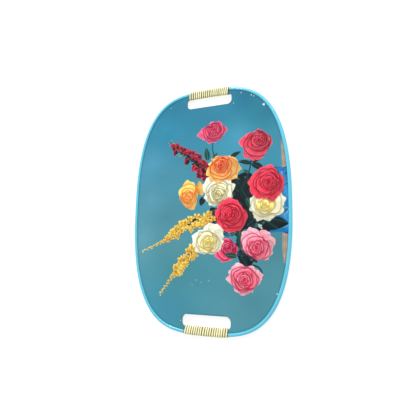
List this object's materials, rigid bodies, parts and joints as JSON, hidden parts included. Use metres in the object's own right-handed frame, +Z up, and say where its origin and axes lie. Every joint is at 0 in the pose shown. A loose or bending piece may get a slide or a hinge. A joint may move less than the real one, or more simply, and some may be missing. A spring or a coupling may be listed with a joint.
{
  "type": "serving tray",
  "caption": "Flat serving tray with rounded corners: printed hardboard panel, clipped-on plastic rim and hand slots with bars wound in plastic cane.",
  "frame": {"origin": "middle of the tray's outside on the level surface that the two cane windings rest on", "axes": "+Z up, out of the printed face; +X along the long axis, from one hand slot to the other; +Y across"},
  "size_m": [0.4742, 0.315, 0.0104],
  "materials": {
    "hardboard": "pressed wood fibre board, raw brown edge",
    "printed_sheet": "printed paper under worn satin lacquer, blue ground with a bouquet",
    "backing_sheet": "plain brown backing paper, matt",
    "rim_plastic": "light blue moulding, satin gloss",
    "cane_plastic": "cream yellow flat plastic cane, satin gloss"
  },
  "bodies": {
    "root": {"board_core": "hardboard", "decor_sheet": "printed_sheet", "backing_sheet": "backing_sheet", "rim_moulding": "rim_plastic", "handle_winding_left": "cane_plastic", "handle_winding_right": "cane_plastic"}
  },
  "joints": []
}
